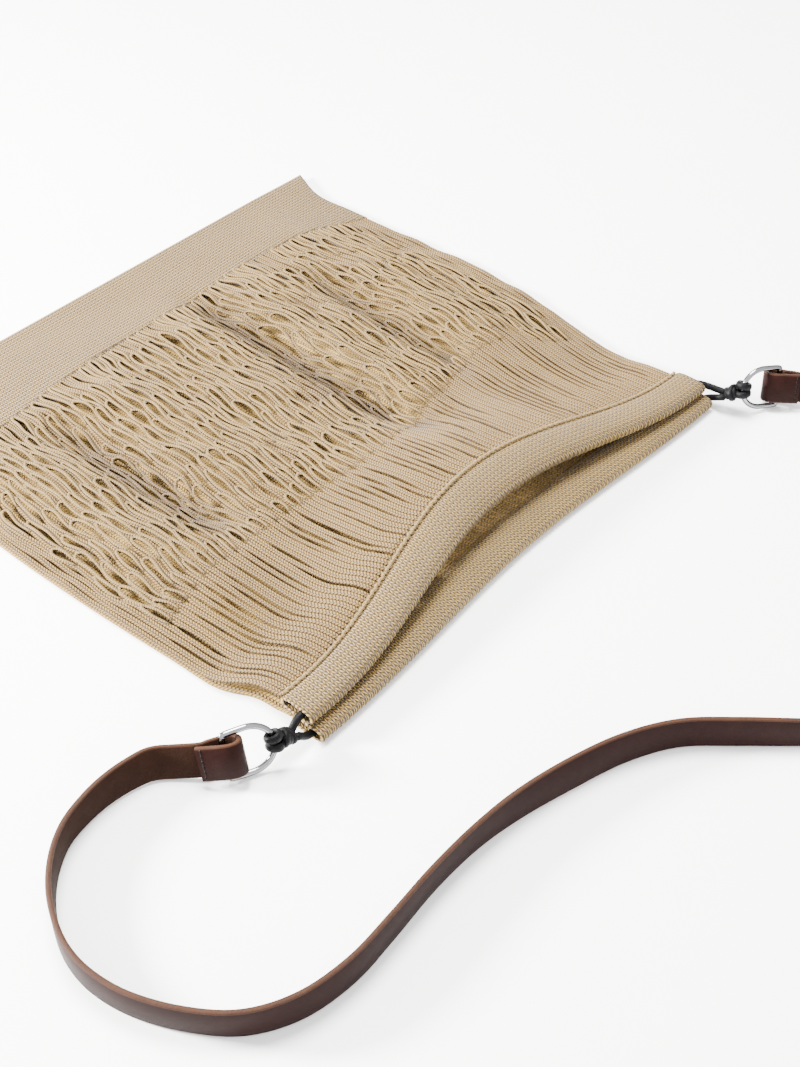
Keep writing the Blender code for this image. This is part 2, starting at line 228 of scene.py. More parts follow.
def made_of(name, points, faces, thread=None):
    """An object of places in millimetres, each with its place on the yarn: across it, along
    it, and how much painted shade it gets in a fold's dip."""
    mesh = bpy.data.meshes.new(name)
    mesh.from_pydata(((points - MIDDLE) / 1000).reshape(-1, 3).tolist(), [], faces)
    if thread is not None:
        place = mesh.attributes.new("thread", "FLOAT_VECTOR", "POINT")
        place.data.foreach_set("vector", thread.reshape(-1).astype(np.float32))
    mesh.shade_smooth()
    made = bpy.data.objects.new(name, mesh)
    bpy.context.scene.collection.objects.link(made)
    return made


def strips(name, middles, across, upward, half_wide, tilt, section, shade=None):
    """A mesh of closed strips. Middles is strips x stations x 3, section is one strip's
    outline as (share of the half width, height) going right round it, and shade gives how
    much painted shade a place gets in a fold's dip."""
    count, stations = middles.shape[:2]
    outline = np.array(section, float)
    sides = len(outline)
    wide = half_wide[..., None] * outline[:, 0]
    high = outline[:, 1] + tilt[..., None] * outline[:, 0]
    points = (middles[:, :, None, :] + across[:, :, None, :] * wide[..., None]
              + upward[:, :, None, :] * high[..., None])
    number = np.arange(count * stations * sides).reshape(count, stations, sides)
    after = np.roll(number, -1, axis=2)
    faces = np.stack((number[:, :-1], after[:, :-1], after[:, 1:], number[:, 1:]), axis=-1)
    faces = faces.reshape(-1, 4).tolist()
    for strip in number:
        faces.append(strip[0][::-1].tolist())
        faces.append(strip[-1].tolist())
    run = np.cumsum(np.linalg.norm(np.diff(middles, axis=1, prepend=middles[:, :1]), axis=2), axis=1)
    thread = np.zeros(points.shape)
    thread[..., 0] = outline[:, 0]
    thread[..., 1] = run[..., None]
    if shade is not None:
        thread[..., 2] = shade(points[..., 0], points[..., 1])
    return made_of(name, points, faces, thread)


# A row's stations, as shares of the way down it, and how far down a loop reaches.
FALLS = (0.0, 0.022, 0.06, 0.13, 0.24, 0.38, 0.54, 0.7, 0.86)
LOOP_LONG = 1.34


def rib_stations(rib_share):
    """Y of every station of every rib in the net, and y of the net's end on each rib."""
    row = np.repeat(np.arange(ROWS), len(FALLS))
    fall = np.tile(np.array(FALLS), ROWS)
    rough_x = mix(FIRST_RIB, LAST_RIB, rib_share)
    top = smooth_lookup(OPENWORK_TOP, 1, rough_x)[:, None]
    foot = smooth_lookup(OPENWORK_FOOT, 1, rough_x)[:, None]
    number = np.arange(RIBS)[:, None]

    def edge(r):
        sway = (3.4 * np.sin(0.31 * number + 1.7 * r) + 3.2 * np.sin(0.127 * number + 2.3 * r)
                + 2.2 * np.sin(0.83 * number + 4.1 * r))
        return mix(top, foot, r / ROWS) + sway * np.where((r > 0) & (r < ROWS), 1.0, 0.35)

    return mix(edge(row), edge(row + 1), fall), edge(np.array([ROWS]))


share = (np.arange(RIBS) + 0.5) / RIBS
net_y, net_end = rib_stations(share)

# Above the net each rib is tucked under the band, and below it runs on to the hem's seam.
TUCKS = (14.0, 7.0, 3.0)
tuck_y = net_y[:, :1] + np.array(TUCKS)
LOWER = 15
seam_y_here, _ = front_seam_line(mix(-MOUTH_HALF, MOUTH_HALF, share))
lower_t = (np.arange(LOWER) / (LOWER - 1))[None, :]
lower_y = mix(net_end, seam_y_here[:, None] - 1.0, lower_t)
rib_y = np.concatenate((tuck_y, net_y, lower_y), axis=1)
stations = rib_y.shape[1]
first, past = len(TUCKS), len(TUCKS) + net_y.shape[1]


def loop_shape(t):
    """How wide a loop is along its length: blunt at its top and drawn to a point below."""
    t = np.clip(t, 0.0, 1.0)
    return 1.8 * t**0.34 * (1 - t) ** 0.8


# How far each loop opens. Loops alternate like bricks, reach into the row below, and open
# in uneven patches.
LOOP_WIDE = 2.9
FIRST_ROW_WIDE = 0.7  # of the others
chance = random.Random(11)
opening = np.zeros((RIBS, stations))
for r in range(ROWS):
    for i in range(BORDER_RIBS, RIBS - BORDER_RIBS - 1):
        luck = chance.random()
        if (i + r) % 2:
            continue
        x_mm = mix(FIRST_RIB, LAST_RIB, share[i])
        patch = (0.5 + 0.28 * math.sin(x_mm / 21 + 1.9 * r) + 0.22 * math.sin(x_mm / 9.5 - 1.3 * r + 1)
                 + 0.18 * math.sin(x_mm / 47 + 0.8 * r))
        wide = LOOP_WIDE * min(max(0.45 + 0.6 * patch + 0.6 * (luck - 0.5), 0.15), 1.15)
        if r == 0:
            wide *= FIRST_ROW_WIDE
        here = slice(first + r * len(FALLS), first + (r + 1) * len(FALLS))
        long = LOOP_LONG if r < ROWS - 1 else 1.0
        opening[i, here] = np.maximum(opening[i, here], wide * loop_shape(np.array(FALLS) / long))
        if r < ROWS - 1:
            below = slice(here.stop, here.stop + len(FALLS))
            opening[i, below] = wide * loop_shape((1 + np.array(FALLS)) / LOOP_LONG)

# Lower down, long slits stay between most of the ribs, and some start further down.
SLIT_SHARE, LATE_SHARE = 0.72, 0.3
SLIT_WIDE = (0.4, 1.3)
for i in range(1, RIBS - 2):
    luck, start, long = chance.random(), chance.random(), chance.random()
    if luck < SLIT_SHARE:
        t = (lower_t[0] - 0.45 * start * (luck < LATE_SHARE)) / (0.45 + 0.5 * long)
        slit = np.clip(4 * t * (1 - t), 0, 1) ** 0.6
        opening[i, past:] = slit * mix(*SLIT_WIDE, chance.random())



def pushed_aside(openings):
    """How far the openings on both sides push each rib along x."""
    push = np.zeros((RIBS, stations))
    push[:-1] -= openings[:-1] / 2
    push[1:] += openings[:-1] / 2
    return push


def side_edges(y):
    """X of both side edges. Near the mouth they stand in line with the hem's ends."""
    y = mix(y, 0.0, ease((62 - y) / 45))
    return smooth_lookup(SIDES, 1, y), smooth_lookup(SIDES, 2, y)


squeeze = np.zeros((RIBS, stations))
squeeze[:-1] += opening[:-1] / 2
squeeze[1:] += opening[:-1] / 2

# Where the ribs are loose they sway aside and up and down, and they give way to the loops.
loose = ease((rib_y - net_end) / 25) * ease((net_y[:, :1] - rib_y) / 18)
half_loose = mix(0.35, 1.0, loose) * ease((net_y[:, :1] - rib_y) / 18) * ease((rib_y - 52) / 40)
edge_calm = ease(np.minimum(share, 1 - share) / 0.05)[:, None]
drift = (0.0042 * np.sin(31 * share[:, None] + rib_y / 52)
         + 0.0030 * np.sin(67 * share[:, None] + 1.3 + rib_y / 29)) * half_loose * edge_calm
left_edge, right_edge = side_edges(rib_y)
rib_pitch = (right_edge - left_edge - 2.0) / RIBS
rib_x = left_edge + 1.0 + (share[:, None] + drift) * (right_edge - left_edge - 2.0)
wander = (1.7 * np.sin(rib_y / 14.5 + rib_x / 17) + 0.7 * np.sin(rib_y / 6.9 - rib_x / 10.5 + 2.0)
          + 0.35 * np.sin(rib_y / 4.1 + np.arange(RIBS)[:, None] * 2.4))
rib_x = rib_x + wander * loose * edge_calm + pushed_aside(opening)

numbers = np.arange(RIBS)[:, None]
rib_z = front_height(rib_x, rib_y)
rib_z = rib_z + loose * (0.5 * np.sin(rib_y / 8.7 + numbers * 2.1) + 0.35 * np.sin(rib_y / 5.3 + numbers))
rib_z = rib_z + 0.22 * squeeze * loose
rib_z[:, :first] -= 0.45
middles = np.stack((rib_x, rib_y, rib_z), axis=-1)
slope_x = (front_height(rib_x + 1.5, rib_y) - front_height(rib_x - 1.5, rib_y)) / 3.0
across = np.stack((np.ones_like(slope_x), np.zeros_like(slope_x), slope_x), axis=-1)
across /= np.linalg.norm(across, axis=-1, keepdims=True)
along = np.gradient(middles, axis=1)
along /= np.linalg.norm(along, axis=-1, keepdims=True)
upward = np.cross(along, across)
upward /= np.linalg.norm(upward, axis=-1, keepdims=True)
drift_pitch = np.gradient(share[:, None] + drift, axis=0) * RIBS
half_wide = rib_pitch * np.clip(drift_pitch, 0.75, 1.25) * 0.5 * 0.93 - squeeze * 0.85
half_wide = np.clip(half_wide, 1.0, 2.6)
LIFT_AT_LOOPS = 0.14  # how much a rib's edge lifts beside an opening, of its width
tilt = np.zeros((RIBS, stations))
tilt[:-1] += opening[:-1] * LIFT_AT_LOOPS
tilt[1:] -= opening[:-1] * LIFT_AT_LOOPS
# A rib's outline: two round ropes of stitches with a groove between them.
ROPES = ((-1.0, -0.3), (-0.82, 0.65), (-0.44, 0.95), (0.0, -0.05), (0.44, 0.95), (0.82, 0.65),
         (1.0, -0.3), (0.7, -0.9), (-0.7, -0.9))
# The ribs carry painted shade in the deep folds' dips.
front_ribs = strips("front_ribs", middles, across, upward, half_wide, tilt, ROPES, painted_dip_shade)


def calc(tree, kind, *values, clamp=False):
    """A maths node with numbers or other nodes' outputs as its inputs."""
    node = tree.nodes.new("ShaderNodeMath")
    node.operation = kind
    node.use_clamp = clamp
    for socket, value in zip(node.inputs, values):
        if isinstance(value, (int, float)):
            socket.default_value = value
        else:
            tree.links.new(value, socket)
    return node.outputs[0]


def new_group(name, inputs, outputs):
    """An empty shader node group with its sockets, its input node and its output node."""
    tree = bpy.data.node_groups.new(name, "ShaderNodeTree")
    for label, kind, value in inputs:
        socket = tree.interface.new_socket(label, in_out="INPUT", socket_type=kind)
        if value is not None:
            socket.default_value = value
    for label, kind in outputs:
        tree.interface.new_socket(label, in_out="OUTPUT", socket_type=kind)
    return tree, tree.nodes.new("NodeGroupInput"), tree.nodes.new("NodeGroupOutput")


# The yarn: columns of small slanting V's, worked out from the place along it, with fluff
# and faint clouds. It gives how far a place is from pale to dark, the dark being painted shade between the
# stitches and in the folds' dips, and the relief.
knitting, given, result = new_group(
    "knit_stitches",
    (("Thread", "NodeSocketVector", None), ("Place", "NodeSocketVector", None),
     ("Column", "NodeSocketFloat", 2.0), ("Course", "NodeSocketFloat", 1.6),
     ("Slant", "NodeSocketFloat", 0.5), ("Crevice", "NodeSocketFloat", 1.0)),
    (("Tone", "NodeSocketFloat"), ("Relief", "NodeSocketFloat")),
)
yarn_place = knitting.nodes.new("ShaderNodeSeparateXYZ")
knitting.links.new(given.outputs["Thread"], yarn_place.inputs[0])
column = calc(knitting, "DIVIDE", yarn_place.outputs["X"], given.outputs["Column"])
leg = calc(knitting, "MULTIPLY", calc(knitting, "PINGPONG", column, 0.5), 2.0)
course = calc(knitting, "DIVIDE", yarn_place.outputs["Y"], given.outputs["Course"])
slanted = calc(knitting, "ADD", course, calc(knitting, "MULTIPLY", leg, given.outputs["Slant"]))
course = calc(knitting, "FRACT", slanted)
bead = calc(knitting, "MULTIPLY", course, calc(knitting, "SUBTRACT", 1.0, course))
bead = calc(knitting, "POWER", calc(knitting, "MULTIPLY", bead, 4.0), 0.6)
side = calc(knitting, "SUBTRACT", calc(knitting, "MULTIPLY", leg, 2.0), 1.0)
round_leg = calc(knitting, "SUBTRACT", 1.0, calc(knitting, "MULTIPLY", side, side))
height = calc(knitting, "MULTIPLY", bead, calc(knitting, "POWER", round_leg, 0.5))


def noise(tree, vector, scale, detail):
    """A soft random pattern, from 0 to 1."""
    node = tree.nodes.new("ShaderNodeTexNoise")
    node.inputs["Scale"].default_value = scale
    node.inputs["Detail"].default_value = detail
    tree.links.new(vector, node.inputs["Vector"])
    return node.outputs["Fac"]


def shift(tree, pattern, share):
    """A pattern as a change to either side of nothing."""
    return calc(tree, "MULTIPLY", calc(tree, "SUBTRACT", pattern, 0.5), share)


fluff = noise(knitting, given.outputs["Place"], 900.0, 3.0)
cloud = noise(knitting, given.outputs["Place"], 22.0, 2.0)
# Low between the stitches the yarn turns darker: painted shade in the crevices.
between = calc(knitting, "SUBTRACT", 1.0, height, clamp=True)
tone = calc(knitting, "MULTIPLY", between, given.outputs["Crevice"])
# The thread's third part darkens the tone: painted shade in the folds' dips.
tone = calc(knitting, "ADD", tone, calc(knitting, "MULTIPLY", yarn_place.outputs["Z"], 0.55))
tone = calc(knitting, "ADD", tone, shift(knitting, fluff, 0.35))
tone = calc(knitting, "ADD", tone, shift(knitting, cloud, 0.3), clamp=True)
knitting.links.new(tone, result.inputs["Tone"])
relief = calc(knitting, "ADD", height, calc(knitting, "MULTIPLY", fluff, 0.35))
knitting.links.new(relief, result.inputs["Relief"])


def two_tone(tree, factor, first, second):
    """A colour between two, by a factor."""
    shade = tree.nodes.new("ShaderNodeMix")
    shade.data_type = "RGBA"
    shade.inputs["A"].default_value = (*first, 1.0)
    shade.inputs["B"].default_value = (*second, 1.0)
    tree.links.new(factor, shade.inputs["Factor"])
    return shade.outputs["Result"]


def relief_normal(tree, height_here, strength, depth):
    """A normal from a relief that is so many millimetres deep."""
    bump = tree.nodes.new("ShaderNodeBump")
    bump.inputs["Strength"].default_value = strength
    bump.inputs["Distance"].default_value = depth / 1000
    tree.links.new(height_here, bump.inputs["Height"])
    return bump.outputs["Normal"]


def knit_material(name, light, dark, column, course, slant, depth, crevice_shade):
    """Cotton yarn in one stitch size: paler on the stitches, with painted shade between them."""
    made = bpy.data.materials.new(name)
    made.use_nodes = True
    tree = made.node_tree
    yarn = tree.nodes["Principled BSDF"]
    yarn.inputs["Roughness"].default_value = 0.88
    yarn.inputs["Sheen Weight"].default_value = 0.12
    yarn.inputs["Sheen Roughness"].default_value = 0.5
    yarn.inputs["Specular IOR Level"].default_value = 0.2
    thread = tree.nodes.new("ShaderNodeAttribute")
    thread.attribute_name = "thread"
    place = tree.nodes.new("ShaderNodeTexCoord")
    knitted = tree.nodes.new("ShaderNodeGroup")
    knitted.node_tree = knitting
    tree.links.new(thread.outputs["Vector"], knitted.inputs["Thread"])
    tree.links.new(place.outputs["Object"], knitted.inputs["Place"])
    for label, value in (("Column", column), ("Course", course), ("Slant", slant), ("Crevice", crevice_shade)):
        knitted.inputs[label].default_value = value
    tree.links.new(two_tone(tree, knitted.outputs["Tone"], light, dark), yarn.inputs["Base Color"])
    tree.links.new(relief_normal(tree, knitted.outputs["Relief"], 0.9, depth), yarn.inputs["Normal"])
    return made


# The ribs' yarn is set darker than the loops' edges: painted shade between the raised ropes.
SAND = (0.190, 0.113, 0.0250)
# The yarn's colour in painted shade, between the stitches and in the folds' dips.
SAND_IN_SHADE = (0.036, 0.0168, 0.0024)
rope_knit = knit_material("sand rib knit", SAND, SAND_IN_SHADE, column=2.0, course=2.1, slant=0.7,
                          depth=1.0, crevice_shade=1.75)
front_ribs.data.materials.append(rope_knit)
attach(front_ribs, "root")
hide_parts("front_panel")

# ---- The loops' edges ----
# The same yarn again: on each open loop one raised rope of stitches runs up one side, over
# its round top and down the other. The knit makes it as it goes, so it is part of the panel.
EDGE_IN, EDGE_UP = 0.6, 0.85
LEAST_OPEN = 0.9
EDGE_LAP = 5  # stations that a loop's edge reaches into the row below


def ropes(name, routes, wide, high, sides, sideways=None, shade=None):
    """A mesh of closed oval ropes along the given routes, all with as many points."""
    routes = np.array(routes, float)
    count, length = routes.shape[:2]
    run = np.gradient(routes, axis=1)
    run /= np.linalg.norm(run, axis=-1, keepdims=True) + 1e-9
    if sideways is None:
        sideways = np.cross(run, (0.0, 0.0, 1.0))
    level = sideways - run * (sideways * run).sum(axis=-1, keepdims=True)
    level /= np.linalg.norm(level, axis=-1, keepdims=True) + 1e-9
    over = np.cross(level, run)
    angle = 2 * np.pi * (np.arange(sides) + 0.5) / sides
    wide = np.broadcast_to(np.array(wide, float) / 2, (count, length))[..., None] * np.cos(angle)
    high = np.broadcast_to(np.array(high, float) / 2, (count, length))[..., None] * np.sin(angle)
    points = (routes[:, :, None, :] + level[:, :, None, :] * wide[..., None]
              + over[:, :, None, :] * high[..., None])
    number = np.arange(count * length * sides).reshape(count, length, sides)
    after = np.roll(number, -1, axis=2)
    faces = np.stack((number[:, :-1], number[:, 1:], after[:, 1:], after[:, :-1]), axis=-1)
    faces = faces.reshape(-1, 4).tolist()
    for rope in number:
        faces.append(rope[0].tolist())
        faces.append(rope[-1][::-1].tolist())
    far = np.cumsum(np.linalg.norm(np.diff(routes, axis=1, prepend=routes[:, :1]), axis=2), axis=1)
    thread = np.zeros(points.shape)
    thread[..., 0] = np.cos(angle)
    thread[..., 1] = far[..., None]
    if shade is not None:
        thread[..., 2] = shade(points[..., 0], points[..., 1])
    return made_of(name, points, faces, thread)


rights = middles + across * (half_wide - EDGE_IN)[..., None] + upward * (EDGE_UP + tilt)[..., None]
lefts = middles - across * (half_wide - EDGE_IN)[..., None] + upward * (EDGE_UP - tilt)[..., None]
loop_routes, foot_routes = [], []
for r in range(ROWS):
    here = slice(first + r * len(FALLS), first + (r + 1) * len(FALLS))
    here = slice(here.start, here.stop + (EDGE_LAP if r < ROWS - 1 else 0))
    for i in range(BORDER_RIBS, RIBS - BORDER_RIBS - 1):
        if (i + r) % 2 or opening[i, here].max() < LEAST_OPEN:
            continue
        down, back = rights[i, here][1:], lefts[i + 1, here][1:]
        crown = (down[0] + back[0]) / 2 + np.array((0.0, 1.2, 0.2))
        loop = np.concatenate((down[::-1], crown[None], back))
        (loop_routes if r < ROWS - 1 else foot_routes).append(loop)
rope_wide = [np.interp(np.linspace(0, 1, len(routes[0])), (0, 0.3, 0.7, 1), (0.7, 1.9, 1.9, 0.7))
             for routes in (loop_routes, foot_routes)]
# The loops' edges carry the same painted shade in the dips.
front_loops = ropes("front_loop_edges", loop_routes, rope_wide[0], high=1.5, sides=6, shade=painted_dip_shade)
foot_loops = ropes("front_foot_loops", foot_routes, rope_wide[1], high=1.5, sides=6)
# The edges' yarn is paler than the ribs': a painted highlight on the raised ropes, used for the seam stitches
# too.
highlit_rope_knit = knit_material("sand edge knit", (0.265, 0.166, 0.046), SAND_IN_SHADE, column=1.0, course=1.7,
                          slant=0.6, depth=0.6, crevice_shade=1.25)
front_loops.data.materials.append(highlit_rope_knit)
foot_loops.data.materials.append(highlit_rope_knit)
for piece in (front_loops, foot_loops):
    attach(piece, "root")

# ---- The front panel's base band ----
# Plain knit in small even stitches, part of the same panel, with soft slanting waves. Its
# lower edge overlaps the tops of the ribs.


def cloth_sheet(name, xs, ys, zs, thick):
    """A closed sheet with rounded rims on a grid of places, in rows along x."""
    rim_share = 0.35
    rows, columns = xs.shape
    centre = np.stack((xs, ys, zs), axis=-1)
    rim = np.minimum.reduce(np.meshgrid(
        np.minimum(np.arange(columns), np.arange(columns)[::-1]),
        np.minimum(np.arange(rows), np.arange(rows)[::-1])))
    half_thick = np.where(rim == 0, rim_share, 1.0) * thick / 2
    top, under = centre.copy(), centre.copy()
    top[..., 2] += half_thick
    under[..., 2] -= half_thick
    points = np.concatenate((top.reshape(-1, 3), under.reshape(-1, 3)))
    number = np.arange(rows * columns).reshape(rows, columns)
    quads = np.stack((number[:-1, :-1], number[1:, :-1], number[1:, 1:], number[:-1, 1:]), axis=-1)
    quads = quads.reshape(-1, 4)
    below = rows * columns
    faces = quads.tolist() + (quads[:, ::-1] + below).tolist()
    ring = np.concatenate((number[0, :-1], number[:-1, -1], number[-1, :0:-1], number[:0:-1, 0]))
    for a, b in zip(ring.tolist(), np.roll(ring, -1).tolist()):
        faces.append([a, b, b + below, a + below])
    flat = centre.reshape(-1, 3) * (1.0, 1.0, 0.0)
    return made_of(name, points, faces, np.concatenate((flat, flat)))


def band_places(columns, rows, inset, height):
    """Places across a base band, from its base edge to where the openwork starts."""
    t, s = np.meshgrid(np.linspace(0, 1, rows), np.linspace(0, 1, columns), indexing="ij")
    top = smooth_lookup(OPENWORK_TOP, 1, mix(FIRST_RIB, LAST_RIB, s)) + 0.7 * np.sin(s * 290)
    ys = mix(BASE_Y - inset, top, t)
    xs = mix(smooth_lookup(SIDES, 1, ys) + inset, smooth_lookup(SIDES, 2, ys) - inset, s)
    return xs, ys, height(xs, ys)


BAND_UP = 0.1  # the band lies this far above the ribs' middles
band_xs, band_ys, band_zs = band_places(columns=190, rows=30, inset=0.4, height=front_height)
front_band = cloth_sheet("front_band", band_xs, band_ys, band_zs + BAND_UP, thick=2.3)
band_knit = knit_material("sand plain knit", (0.222, 0.136, 0.0275), SAND_IN_SHADE, column=3.2, course=3.0,
                          slant=0.5, depth=1.4, crevice_shade=2.4)
front_band.data.materials.append(band_knit)
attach(front_band, "root")

# ---- The front panel's hem ----
# The mouth edge is folded over the cord and knitted shut, which leaves an open channel with
# blunt rounded sides. Close ridges run over its fold, and a stitched seam holds its foot.
HEM_WALL = 1.6
RIDGE_HIGH, RIDGE_PITCH = 0.36, 3.3


def full(wave):
    """A wave with blunter tops, which gives a tube nearly flat sides."""
    return np.sign(wave) * np.abs(wave) ** 0.72


def hem_tube(name, fold_line, seam_line):
    """A hem: a flattened open tube between its seam line and its fold line."""
    steps, around = 341, 26
    x = np.linspace(smooth_lookup(SIDES, 1, 0.0), smooth_lookup(SIDES, 2, 0.0), steps)
    fold = np.stack((x, *(np.zeros_like(x) + v for v in fold_line(x))), axis=-1)
    seam = np.stack((x, *(np.zeros_like(x) + v for v in seam_line(x))), axis=-1)
    half = np.linalg.norm(fold - seam, axis=1) / 2
    forward = (fold - seam) / (2 * half[:, None])
    over = np.stack((0 * x, forward[:, 2], -forward[:, 1]), axis=-1)
    angle = 2 * np.pi * (np.arange(around) + 0.5) / around
    out, up = full(np.cos(angle)), full(np.sin(angle))
    ridge = RIDGE_HIGH * np.cos(2 * np.pi * x / RIDGE_PITCH)[:, None] * ease((out - 0.1) / 0.5)
    levels = []
    for wall, relief in ((0.0, ridge), (HEM_WALL, 0.0)):
        far = (half[:, None] - wall) * out + relief * np.cos(angle)
        high = (HEM_HIGH / 2 - wall) * up + relief * np.sin(angle)
        levels.append(((fold + seam) / 2)[:, None, :] + forward[:, None, :] * far[..., None]
                      + over[:, None, :] * high[..., None])
    points = np.stack(levels)
    number = np.arange(points[..., 0].size).reshape(points.shape[:3])
    after = np.roll(number, -1, axis=2)
    skin = np.stack((number[:, :-1], number[:, 1:], after[:, 1:], after[:, :-1]), axis=-1)
    faces = skin[0].reshape(-1, 4).tolist() + skin[1].reshape(-1, 4)[:, ::-1].tolist()
    for end in (0, -1):
        ring = np.stack((number[0, end], after[0, end], after[1, end], number[1, end]), axis=-1)
        faces += (ring if end == 0 else ring[:, ::-1]).tolist()
    thread = np.zeros(points.shape)
    thread[..., 0] = x[:, None]
    thread[..., 1] = half[:, None] * out
    return made_of(name, points, faces, thread)


SEAM_STITCH = 4.35


def seam_stitches(name, seam_line, inward, lift):
    """The zigzag of stitches that closes a hem along its seam."""
    left, right = smooth_lookup(SIDES, 1, 0.0), smooth_lookup(SIDES, 2, 0.0)
    x = np.linspace(left + 1, right - 1, 640)
    y, z = seam_line(x)
    beat = 2 * np.pi * x / SEAM_STITCH
    route = np.stack((x + 0.5 * np.sin(2 * beat), y + inward + 0.9 * np.sin(beat),
                      z + lift + 0.4 * np.cos(2 * beat)), axis=-1)
    return ropes(name, route[None], wide=2.4, high=1.7, sides=6)


front_hem = hem_tube("front_hem", front_fold_line, front_seam_line)
hem_knit = knit_material("sand hem knit", (0.272, 0.168, 0.036), SAND_IN_SHADE, column=3.3, course=2.9,
                         slant=1.0, depth=1.3, crevice_shade=2.2)
front_hem.data.materials.append(hem_knit)
front_seam = seam_stitches("front_seam_stitches", front_seam_line, inward=0.2, lift=2.7)
front_seam.data.materials.append(highlit_rope_knit)
for piece in (front_hem, front_seam):
    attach(piece, "root")

# ---- The back panel ----
# The same knit as the front: band, openwork, ribs and a hem of its own. It lies flat on
# the table, shows through the front's loops, and shows its plain inside in the mouth.


def back_fold_line(x):
    """Y and height of the middle of the back hem's fold."""
    return -15 + 9.5 * gape(x), HEM_HIGH / 2


def back_seam_line(x):
    """Y and height of the back hem's seam."""
    return 8 + 9.5 * gape(x), HEM_HIGH / 2


BACK_LOOPS = 0.12  # how far the flat back's loops open, of the front's
back_open = np.roll(opening, 1, axis=0) * BACK_LOOPS
back_open[:BORDER_RIBS + 1] = 0
back_open[-BORDER_RIBS - 1:] = 0
back_push = pushed_aside(back_open)
back_seam_y, _ = back_seam_line(mix(-MOUTH_HALF, MOUTH_HALF, share))
back_y = np.concatenate((tuck_y, net_y, mix(net_end, back_seam_y[:, None] - 1.0, lower_t)), axis=1)
left_edge, right_edge = side_edges(back_y)
back_x = left_edge + 1 + (share[:, None] + 0.5 * drift) * (right_edge - left_edge - 2) + back_push * 0.8
BACK_UP = 1.02  # the middle of the back panel's cloth, which lies on the table
RISE_LONG = 12  # the stretch in which it rises to the hem's seam
back_z = BACK_UP + (HEM_HIGH / 2 - BACK_UP) * ease((back_seam_y[:, None] + RISE_LONG - back_y) / RISE_LONG)
flat_across = np.zeros(back_x.shape + (3,))
flat_across[..., 0] = 1.0
flat_up = np.zeros(back_x.shape + (3,))
flat_up[..., 2] = 1.0
back_half = np.clip((right_edge - left_edge) / RIBS * 0.55 - np.abs(back_push) * 0.3, 1.1, 2.5)
FLAT_ROPES = ((-1.0, 0.0), (-0.5, 0.95), (0.0, 0.45), (0.5, 0.95), (1.0, 0.0), (0.6, -0.95), (-0.6, -0.95))
back_ribs = strips("back_ribs", np.stack((back_x, back_y, back_z), axis=-1), flat_across, flat_up,
                   back_half, np.zeros(back_x.shape), FLAT_ROPES)
# The back's yarn is paler than the front's: painted light, so the inside of the mouth and the back seen
# through the loops look lit.
lit_inside_knit = knit_material("sand inside knit", (0.30, 0.185, 0.048), SAND_IN_SHADE, column=2.0, course=2.3,
                            slant=0.5, depth=0.7, crevice_shade=0.9)
back_ribs.data.materials.append(lit_inside_knit)
band_xs, band_ys, _ = band_places(columns=90, rows=14, inset=0.0, height=front_height)
back_band = cloth_sheet("back_band", band_xs, band_ys, np.ones_like(band_xs), thick=1.9)
back_band.data.materials.append(band_knit)
back_hem = hem_tube("back_hem", back_fold_line, back_seam_line)
# The back hem's yarn is paler than the front hem's: painted light on the hem, in place of a lamp at its
# front.
lit_back_hem_knit = knit_material("sand back hem knit", (0.315, 0.197, 0.046), SAND_IN_SHADE, column=3.3,
                              course=2.9, slant=1.0, depth=1.3, crevice_shade=1.9)
back_hem.data.materials.append(lit_back_hem_knit)
back_seam = seam_stitches("back_seam_stitches", back_seam_line, inward=0.4, lift=1.2)
back_seam.data.materials.append(highlit_rope_knit)
for piece in (back_ribs, back_band, back_hem, back_seam):
    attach(piece, "root")
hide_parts("back_panel")

# ---- The D-rings ----
# Two rings of round bright steel wire. The straight bar sits in the strap's fold, and the
# cord is hitched to the middle of the round side.
WIRE = 3.5
BAR = 26.0
REACH = 26.5  # from the bar to the far side of the bow
STRAIGHT = 12.0  # of that, the straight part of each side


def smooth_route(points, steps):
    """Points on a smooth curve through the given ones, with so many steps to a stretch."""
    points = np.array(points, float)
    ends = np.concatenate((points[:1], points, points[-1:]))
    t = (np.arange(steps) / steps)[None, :, None]
    a, b, c, d = (ends[k:len(ends) - 3 + k, None, :] for k in range(4))
    curve = 0.5 * (2 * b + (c - a) * t + (2 * a - 5 * b + 4 * c - d) * t**2
                   + (3 * b - a - 3 * c + d) * t**3)
    return np.concatenate((curve.reshape(-1, points.shape[1]), points[-1:]))


def ring_frame(bar_middle, bar_along, towards_bow):
    """The middle of a ring's bar, and unit vectors along the bar, to the bow and outward."""
    up = np.array(bar_along) / np.linalg.norm(bar_along)
    bow = np.array(towards_bow) - up * np.dot(towards_bow, up)
    bow /= np.linalg.norm(bow)
    return np.array(bar_middle), up, bow, np.cross(up, bow)


def bow_point(frame_here, turn):
    """A place on the round side of a ring, by its turn from one end of the bar to the other."""
    middle, up, bow, _ = frame_here
    return middle + up * (BAR / 2) * np.cos(turn) + bow * (STRAIGHT + (REACH - STRAIGHT) * np.sin(turn))


steel = bpy.data.materials.new("bright steel")
steel.use_nodes = True
shine = steel.node_tree.nodes["Principled BSDF"]
